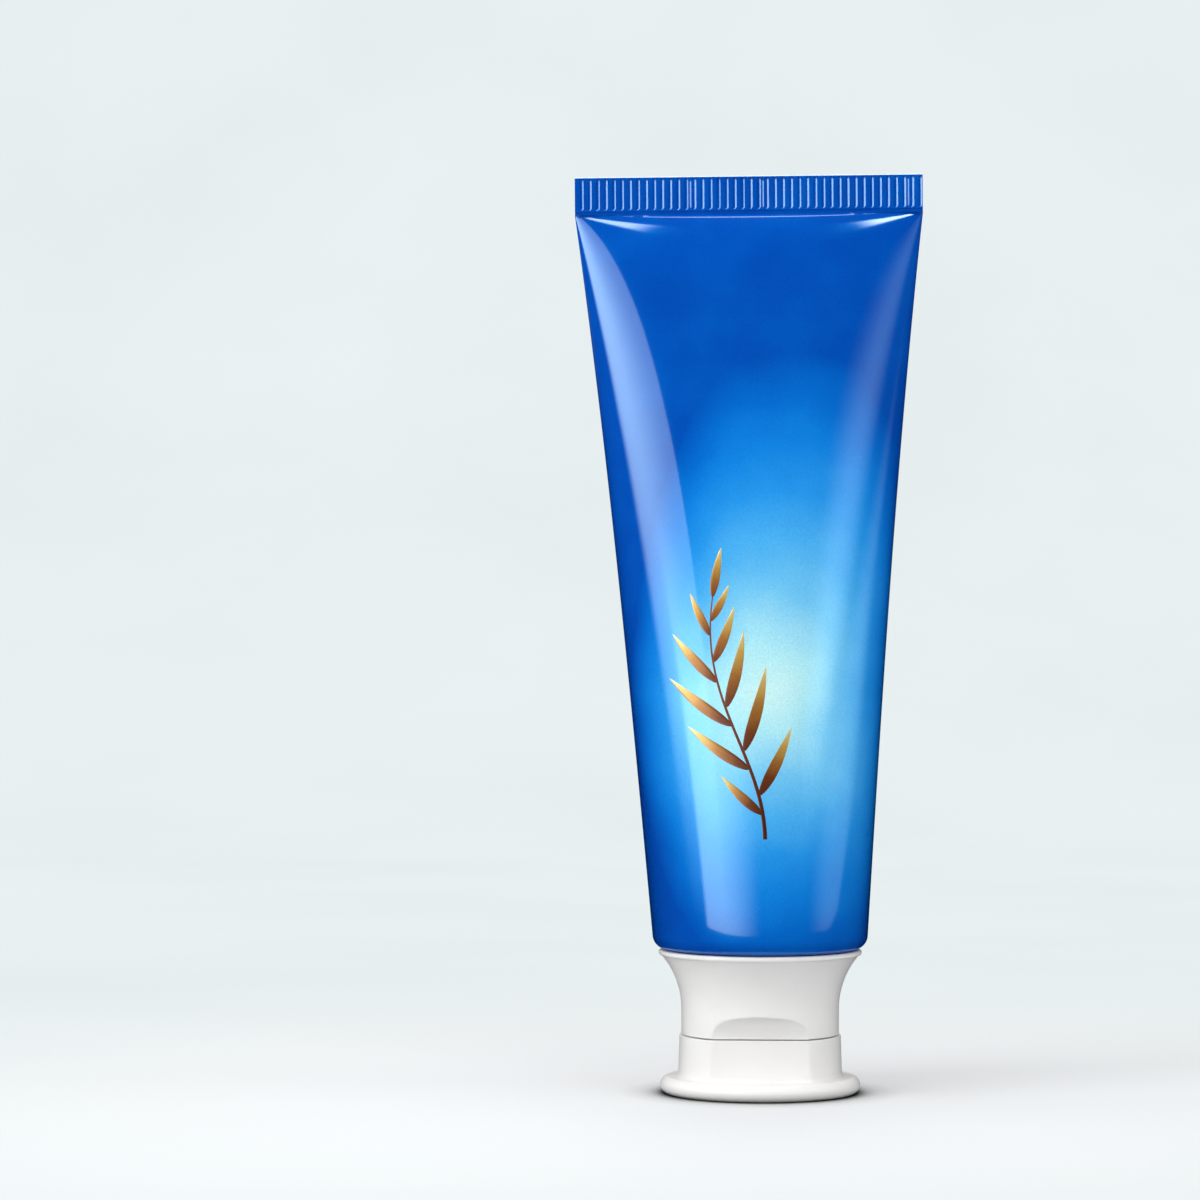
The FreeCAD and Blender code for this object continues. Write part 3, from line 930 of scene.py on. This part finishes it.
def carveBase(p):
    radius = math.hypot(p.x, p.y)
    outside = radius > base["insideTo"]
    up = max(p.z - cap["partingHigh"], 0)
    straight = p.z < base["insideStart"] - 10 * tiny
    if p.y < 0 and outside and up < base["scoopRadius"]:
        reach = math.sqrt(base["scoopRadius"] ** 2 - up**2)
        p.y = softMax(p.y, reach - base["scoopAxis"], base["scoopRound"])
    elif p.y < 0 and base["insideFrom"] < radius < base["insideTo"] and straight:
        p.y = softMax(p.y, -base["insideFacet"], base["scoopRound"])
    if p.y > 0 and outside and p.z < base["insideStart"]:
        raiseLand(p, base["waist"])


bottom = cap["partingHigh"]
flareFrom = (base["waist"], base["flareStart"])
flareTo = (base["rimCentre"][0], base["rimCentre"][1] - base["rimRound"])
insideFrom = (base["inside"], base["insideStart"])
insideTo = (base["mouth"], base["top"])
rimTop = (base["rimCentre"][0], base["top"])
baseCorners = [
    (base["spoutBore"], base["spoutTip"], 0.15),
    (base["spoutRadius"], base["spoutTip"], 0.2),
    (base["spoutRadius"], bottom, base["spoutRoot"]),
    (base["undersideRow"], bottom, 0),
    (base["waist"], bottom, edge),
]
baseCorners += arcLine(flareFrom, flareTo, flareRadius(flareFrom, flareTo), 1, 26)
baseCorners += arcLine(flareTo, rimTop, base["rimRound"] + 1e-6, -1, 10)[1:]
baseCorners += arcLine(insideTo, insideFrom, flareRadius(insideFrom, insideTo), -1, 12)
baseCorners += [
    (base["inside"], base["insideStart"] - 0.04, 0),
    (base["inside"], base["deck"], 0.3),
    (base["socketOut"], base["deck"], 0.3),
    (base["socketOut"], base["top"], 0.2),
    (base["socketIn"], base["top"], 0.2),
    (base["socketIn"], base["deck"], 0.15),
    (base["spoutBore"], base["deck"], 0.15),
]
bm = turnedShell(baseCorners, True, base["rowsFrom"], base["rowStep"], cap["columns"], carveBase)
capBaseShell = finishPiece(bm, "capBaseShell", "cap", [whitePlastic])
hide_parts("cap_base")
print("cap base is made")

# the film bends between the two lands, so it has rows to bend at and is thinnest in the middle
bm = bmesh.new()
bmesh.ops.create_cube(bm, size=1)
upright = [e for e in bm.edges if abs(e.verts[0].co.z - e.verts[1].co.z) > 0.5]
bmesh.ops.subdivide_edges(bm, edges=upright, cuts=hinge["filmRows"], use_grid_fill=True)
filmMiddle = (hinge["filmLow"] + hinge["filmHigh"]) / 2
for vertex in bm.verts:
    waist = 1 - hinge["filmWaist"] * math.cos(math.pi * vertex.co.z) ** 2
    vertex.co.x *= 2 * hinge["halfWidth"]
    vertex.co.y *= (hinge["filmOut"] - hinge["filmIn"]) * waist
    vertex.co.z *= hinge["filmHigh"] - hinge["filmLow"]
    vertex.co += Vector((0, (hinge["filmOut"] + hinge["filmIn"]) / 2, filmMiddle))
hingeFilm = finishPiece(bm, "hingeFilm", None, [whitePlastic], 50)
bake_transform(hingeFilm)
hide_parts("living_hinge")
print("hinge film is made")

neck = {
    "bore": 4.2,
    "core": 5.75,
    "crest": 6.4,
    "tip": 11.28,
    "threadStart": 12.6,
    "threadEnd": 21.4,
    "pitch": 2.6,
    "fade": 0.9,
    "flanks": (0.12, 0.3, 0.62, 0.8),  # shares of the pitch where the crest rises and falls
    "columns": 180,
    "rowsFrom": 12.18,
    "rowStep": 0.16,
    "rowCount": 65,
    "under": 23.75,
    "top": 25.05,
    "plate": 1.3,
    "radius": 17.1,
    "rimTop": 26.55,
}


def carveNeck(p):
    radius = math.hypot(p.x, p.y)
    onNeck = neck["tip"] + 0.3 < p.z < neck["under"] - 0.5
    if onNeck and neck["core"] - 0.2 < radius < neck["crest"]:
        turn = (math.atan2(p.y, p.x) / math.tau + p.z / neck["pitch"]) % 1
        riseFrom, riseTo, fallFrom, fallTo = neck["flanks"]
        flank = smoothStep(riseFrom, riseTo, turn) - smoothStep(fallFrom, fallTo, turn)
        start = smoothStep(neck["threadStart"], neck["threadStart"] + neck["fade"], p.z)
        end = 1 - smoothStep(neck["threadEnd"] - neck["fade"], neck["threadEnd"], p.z)
        out = 1 + (neck["crest"] - neck["core"]) * flank * start * end / radius
        p.x *= out
        p.y *= out


cornerCentre = sleeve["radius"] - sleeve["cornerRadius"]
headCorner = neck["radius"] - cornerCentre
neckRows = [neck["rowsFrom"] + i * neck["rowStep"] for i in range(neck["rowCount"])]
headCorners = [(neck["bore"], neck["tip"], 0.3), (neck["core"], neck["tip"], 0.5)]
headCorners += [(neck["core"], z, 0) for z in neckRows]
headCorners += [(neck["core"], neck["under"], 0.6)]
headCorners += arcLine(
    (cornerCentre, neck["under"]), (neck["radius"], bodyStart), headCorner + 0.05, -1, 8
)
headCorners += [
    (neck["radius"], neck["rimTop"], 0.2),
    (neck["radius"] - neck["plate"], neck["rimTop"], 0.2),
    (neck["radius"] - neck["plate"], neck["top"], 0.4),
    (neck["bore"], neck["top"], 0.4),
]
bm = turnedShell(headCorners, True, math.inf, 1, neck["columns"], carveNeck)
tubeHead = finishPiece(bm, "threadedHead", "tube", [headPlastic])
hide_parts("tube_head")
print("tube head is made")

fill = {
    "gap": 0.15,
    "bore": 4.05,
    "radius": 15.65,
    "splitHeight": 26.7,
    "headspace": 6.0,
    "rows": 30,
    "columns": 128,
    "lobes": 3,  # of the slight waves in the paste, with their turn for each millimetre of height
    "lobeTurn": 0.21,
    "waves": 0.004,
    "clearance": 0.02,
    "shoulder": 25.15,
    "endRound": (0.15, 0.3),  # the step up and in round its upper end, and the share left inside
    "endShare": 0.7,
}


def fillPoint(column, row):
    angle = math.tau * column / fill["columns"]
    phase = fill["lobes"] * angle + row["z"] * fill["lobeTurn"]
    wave = 1 - row["wave"] * (0.5 + 0.5 * math.sin(phase))
    x = math.sin(angle) * row["width"] * wave
    return tilted(row, x, math.cos(angle) * row["depth"] * wave)


fillInset = sleeve["wall"] + fill["gap"]
fillFrom = (fill["splitHeight"] - bodyStart) / sleeve["length"]
fillTo = 1 - fill["headspace"] / sleeve["length"]
fillSteps = [math.sin(math.pi / 2 * i / fill["rows"]) for i in range(fill["rows"] + 1)]
lowRadii = [
    (0, neck["tip"]),
    (fill["bore"], neck["tip"]),
    (fill["bore"], fill["shoulder"]),
    (fill["radius"], fill["shoulder"]),
    (fill["radius"], fill["splitHeight"]),
]
fillRows = [{**roundRow(r, z + fill["clearance"]), "wave": 0} for r, z in lowRadii]
fillRows += [
    {**bodyRow(mixed(fillFrom, fillTo, step), fillInset), "wave": fill["waves"]}
    for step in fillSteps
]
last = fillRows[-1]
endUp, endIn = fill["endRound"]
endSizes = {"width": last["width"] - endIn, "depth": last["depth"] - endIn}
fillRows += [{**last, "z": last["z"] + endUp, **endSizes}]
fillRows += [{**fillRows[-1], "width": last["width"] * fill["endShare"], "depth": 0}]
bm = ringStack(fill["columns"], [(0, row) for row in fillRows], fillPoint)
pasteFill = finishPiece(bm, "pasteFill", "tube", [pasteFinish], 50)
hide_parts("toothpaste")
print("paste is made")


stage = {
    "floorFront": -1.6,
    "floorBack": 0.62,
    "sweep": 0.6,
    "sweepSteps": 12,
    "wallTop": 1.6,
    "halfWidth": 1.8,
    "paper": tone(216, 218, 219),
    "bounce": tone(168, 170, 171),  # its tone as the object is lit by it
    "seen": tone(231, 239, 240),
    "litNear": 0.02,  # the paper is lit and shaded close to the tube and plain beyond litFar
    "litFar": 0.25,
    "mottle": 0.1,
    "mottleSize": 130.0,
    # reach and power of the painted contact shade on the paper round the cap's foot
    "paintedShadeReach": 0.007,
    "paintedShadePower": 2.4,
}


def plainRays(wire):
    # where a ray comes from the camera, and where it comes from there, a mirror or a clear body
    seen = wire.make("ShaderNodeLightPath", out="Is Camera Ray")
    path = seen.socket.node
    mirrored = Wire(wire.tree, path.outputs["Is Glossy Ray"])
    through = Wire(wire.tree, path.outputs["Is Transmission Ray"])
    return seen, (seen + mirrored + through).clipped()


bm = bmesh.new()
sweepLine = [(stage["floorFront"], 0), (stage["floorBack"], 0)]
for i in range(1, stage["sweepSteps"] + 1):
    angle = math.pi / 2 * i / stage["sweepSteps"]
    y = stage["floorBack"] + stage["sweep"] * math.sin(angle)
    sweepLine.append((y, stage["sweep"] * (1 - math.cos(angle))))
sweepLine.append((stage["floorBack"] + stage["sweep"], stage["wallTop"]))
line = drawLine(bm, [(-stage["halfWidth"], y, z) for y, z in sweepLine])
grown = bmesh.ops.extrude_edge_only(bm, edges=line)["geom"]
bmesh.ops.translate(
    bm,
    verts=[p for p in grown if isinstance(p, bmesh.types.BMVert)],
    vec=(2 * stage["halfWidth"], 0, 0),
)
bmesh.ops.scale(bm, vec=(1 / mm,) * 3, verts=bm.verts)
paper = bpy.data.materials.new("palePaper")
paper.use_nodes = True
paperTree = paper.node_tree
paperTree.nodes.clear()
wire = Wire(paperTree)
seen, shown = plainRays(wire)
where, (x, y, z) = places(wire)
farness = ((x * x + y * y + z * z) ** 0.5 * mm).stepped(stage["litNear"], stage["litFar"])
mottle = 1 + speckle(wire, where, stage["mottleSize"], 3.0) * stage["mottle"]
paperLit = wire.make("ShaderNodeBsdfDiffuse", None, {"Color": stage["paper"]})
bounceLit = wire.make("ShaderNodeBsdfDiffuse", None, {"Color": stage["bounce"]})
lit = wire.make("ShaderNodeMixShader", None, {0: seen, 1: bounceLit, 2: paperLit})
# painted contact shade: the paper blends towards black wherever ambient occlusion finds the tube
# close by
black = wire.make("ShaderNodeBsdfDiffuse", None, {"Color": (0.0, 0.0, 0.0, 1.0)})
openness = wire.make(
    "ShaderNodeAmbientOcclusion", {"samples": 8}, {"Distance": stage["paintedShadeReach"]}, "AO"
)
paintedContactShade = openness ** stage["paintedShadePower"]
shaded = wire.make("ShaderNodeMixShader", None, {0: paintedContactShade, 1: black, 2: lit})
plain = wire.make("ShaderNodeEmission", None, {"Color": stage["seen"], "Strength": mottle})
mix = wire.make("ShaderNodeMixShader", None, {0: shown * farness, 1: shaded, 2: plain})
output = paperTree.nodes.new("ShaderNodeOutputMaterial")
paperTree.links.new(mix.socket, output.inputs["Surface"])
sweep = finishPiece(bm, "paperSweep", None, [paper])

lights = {
    "distance": 0.42,
    # each softbox hangs on a line from its low to its high end, given as the angle left of the
    # camera's side and the height; a fade is the share of the box it takes and what is left there
    "left": {
        "low": (54, 0.0),
        "high": (54, 0.62),
        "halfWidth": 21.5,
        "radiance": 3.3,
        "colour": (0.975, 1.0, 0.99),
        "fades": ((0.22, 0.0), (0.7, 0.32), (0.34, 0.0), (0.15, 0.2)),
    },
    "leftLow": {
        "low": (27, 0.0),
        "high": (27, 0.12),
        "distance": 0.28,
        "halfWidth": 30,
        "radiance": 1.5,
        "colour": (0.975, 1.0, 0.99),
        "fades": ((0.1, 0.0), (0.65, 0.0), (0.01, 1.0), (0.5, 0.1)),
    },
    "leftRim": {
        "low": (125, 0.09),
        "high": (125, 0.4),
        "halfWidth": 15,
        "radiance": 0.28,
        "colour": (0.7, 0.88, 1.0),
        "fades": ((0.3, 0.0), (0.3, 0.0), (0.3, 0.0), (0.3, 0.0)),
    },
    "right": {
        "low": (-47, 0.05),
        "high": (-49, 0.3),
        "halfWidth": 19,
        "radiance": 0.8,
        "colour": (0.8, 0.95, 1.0),
        "fades": ((0.45, 0.0), (0.5, 0.0), (0.25, 0.0), (0.75, 0.2)),
    },
    "rightLow": {
        "low": (-76, 0.0),
        "high": (-68, 0.11),
        "distance": 0.27,
        "halfWidth": 25,
        "radiance": 0.42,
        "colour": (0.8, 0.95, 1.0),
        "fades": ((0.45, 0.0), (0.35, 0.0), (0.1, 0.5), (0.4, 0.0)),
    },
    "back": {
        "low": (180, 0.05),
        "high": (180, 0.6),
        "halfWidth": 20,
        "radiance": 0.9,
        "colour": (1.0, 1.0, 1.0),
        "fades": ((0.2, 0.0), (0.2, 0.0), (0.2, 0.0), (0.2, 0.0)),
    },
}

# white boxes: the way their height runs, what they face, and whether the gloss mirrors them
whiteBoxes = {
    "overheadSoftbox": {
        "centre": (0, 0.24, 0.9),
        "up": (0, 1, 0),
        "aim": (0, 0.24, 0),
        "size": 0.4,
        "radiance": 2.0,
        "glossy": True,
    },
    "overheadFill": {
        "centre": (0, -0.1, 1.0),
        "up": (0, 1, 0),
        "aim": (0, 0, 0),
        "size": 0.7,
        "radiance": 2.4,
        "glossy": False,
    },
    "frontFill": {
        "centre": (0.05, -1.14, 0.4),
        "up": (0, 0, 1),
        "aim": (0, 0, 0.07),
        "size": 0.9,
        "radiance": 1.12,
        "glossy": False,
    },
    "leftFill": {
        "centre": (-0.98, 0.15, 0.3),
        "up": (0, 0, 1),
        "aim": (0, 0, 0.07),
        "size": 0.6,
        "radiance": 1.2,
        "glossy": False,
    },
    "rightFill": {
        "centre": (0.98, -0.25, 0.3),
        "up": (0, 0, 1),
        "aim": (0, 0, 0.07),
        "size": 0.6,
        "radiance": 2.1,
        "glossy": False,
    },
}

# a pair left and right of the camera that glances off the sleeve's upper end
topBoxes = {
    "centre": (0.15, -0.347, 0.6),
    "aim": (0, 0, 0.14),
    "width": 0.11,
    "height": 0.17,
    "fades": ((0.3, 0.0),) * 4,
    "leftRadiance": 4.6,
    "rightRadiance": 7.0,
}


def softbox(name, centre, up, aim, width, height, radiance, colour, fades=(), glossy=True):
    lamp = bpy.data.lights.new(name, "AREA")
    lamp.shape = "RECTANGLE"
    lamp.size = width
    lamp.size_y = height
    lamp.energy = radiance * width * height * 4
    lamp.color = colour
    if fades:
        lamp.use_nodes = True
        wire = Wire(lamp.node_tree)
        across = wire.make("ShaderNodeNewGeometry", out="Parametric")
        across = wire.make("ShaderNodeSeparateXYZ", None, {0: across})
        upwards = Wire(wire.tree, across.socket.node.outputs["Y"])
        strength = 1.0
        for place, (reach, rest) in zip((across, 1 - across, upwards, 1 - upwards), fades):
            strength = strength * place.stepped(0.0, reach, rest)
        wire.feed(lamp.node_tree.nodes["Emission"].inputs["Strength"], strength)
    box = bpy.data.objects.new(name, lamp)
    along = up.normalized()
    away = centre - aim
    away = (away - along * away.dot(along)).normalized()
    box.location = centre
    box.rotation_euler = Matrix((along.cross(away), along, away)).transposed().to_euler()
    box.visible_camera = False
    box.visible_glossy = glossy
    bpy.context.scene.collection.objects.link(box)


def roundTheTube(angle, height, distance):
    turn = math.radians(angle)
    return Vector((-math.sin(turn) * distance, -math.cos(turn) * distance, height))


for name in ("left", "leftLow", "leftRim", "right", "rightLow", "back"):
    spec = lights[name]
    reach = spec.get("distance", lights["distance"])
    low, high = roundTheTube(*spec["low"], reach), roundTheTube(*spec["high"], reach)
    centre = (low + high) / 2
    width = 2 * reach * math.tan(math.radians(spec["halfWidth"]))
    softbox(
        name + "Softbox",
        centre,
        high - low,
        Vector((0, 0, centre.z)),
        width,
        (high - low).length,
        spec["radiance"],
        spec["colour"],
        spec["fades"],
    )

upright = Vector((0, 0, 1))
aim = Vector(topBoxes["aim"])
for side, radiance in ((-1, topBoxes["leftRadiance"]), (1, topBoxes["rightRadiance"])):
    x, y, z = topBoxes["centre"]
    centre = Vector((x * side, y, z))
    softbox(
        "topSoftbox",
        centre,
        upright.cross(centre - aim).cross(aim - centre),
        aim,
        topBoxes["width"],
        topBoxes["height"],
        radiance,
        (1, 1, 1),
        topBoxes["fades"],
    )
for name, spec in whiteBoxes.items():
    softbox(
        name,
        Vector(spec["centre"]),
        Vector(spec["up"]),
        Vector(spec["aim"]),
        spec["size"],
        spec["size"],
        spec["radiance"],
        (1, 1, 1),
        glossy=spec["glossy"],
    )

# a black tent behind the softboxes, which only the gloss sees, keeps the deep blue deep
tentSegments = 32
tentLine = [(0.02, 0.0004), (0.5, 0.0004), (0.5, 0.7), (0.3, 0.93), (0.0, 0.95)]
bm = bmesh.new()
drawLine(bm, [(radius, 0, height) for radius, height in tentLine])
spinLine(bm, tentSegments)
bmesh.ops.scale(bm, vec=(1 / mm,) * 3, verts=bm.verts)
blackCloth, _, _ = newFinish("blackCloth", (0.0, 0.0, 0.0, 1), 1.0, {"Specular IOR Level": 0.0})
tent = finishPiece(bm, "blackTent", None, [blackCloth])
tent.visible_camera = False
tent.visible_diffuse = False
tent.visible_shadow = False
tent.visible_transmission = False

surroundings = {
    "ambient": 0.3,  # strength of the light from all round, and its tone
    "tone": (1.0, 0.97, 0.95, 1.0),
}

world = bpy.data.worlds.new("studio")
bpy.context.scene.world = world
world.use_nodes = True
worldTree = world.node_tree
worldTree.nodes.clear()
wire = Wire(worldTree)
_, shown = plainRays(wire)
tint = shown.between(surroundings["tone"], stage["seen"])
strength = shown * (1 - surroundings["ambient"]) + surroundings["ambient"]
light = wire.make("ShaderNodeBackground", None, {"Color": tint, "Strength": strength})
output = worldTree.nodes.new("ShaderNodeOutputWorld")
worldTree.links.new(light.socket, output.inputs["Surface"])

photoView = {
    "lens": 129.03,
    "sensor": 36,
    "nearest": 0.01,
    "spot": (0, -0.7, 0.08003),
    "turn": 0.0372,
}

lens = bpy.data.cameras.new("photoCamera")
lens.lens = photoView["lens"]
lens.sensor_width = photoView["sensor"]
lens.clip_start = photoView["nearest"]
camera = bpy.data.objects.new("photoCamera", lens)
camera.location = photoView["spot"]
camera.rotation_euler = (math.pi / 2, 0, photoView["turn"])
bpy.context.scene.collection.objects.link(camera)
bpy.context.scene.camera = camera
bpy.context.scene.view_settings.view_transform = "Standard"
print("stage, light and camera are ready")
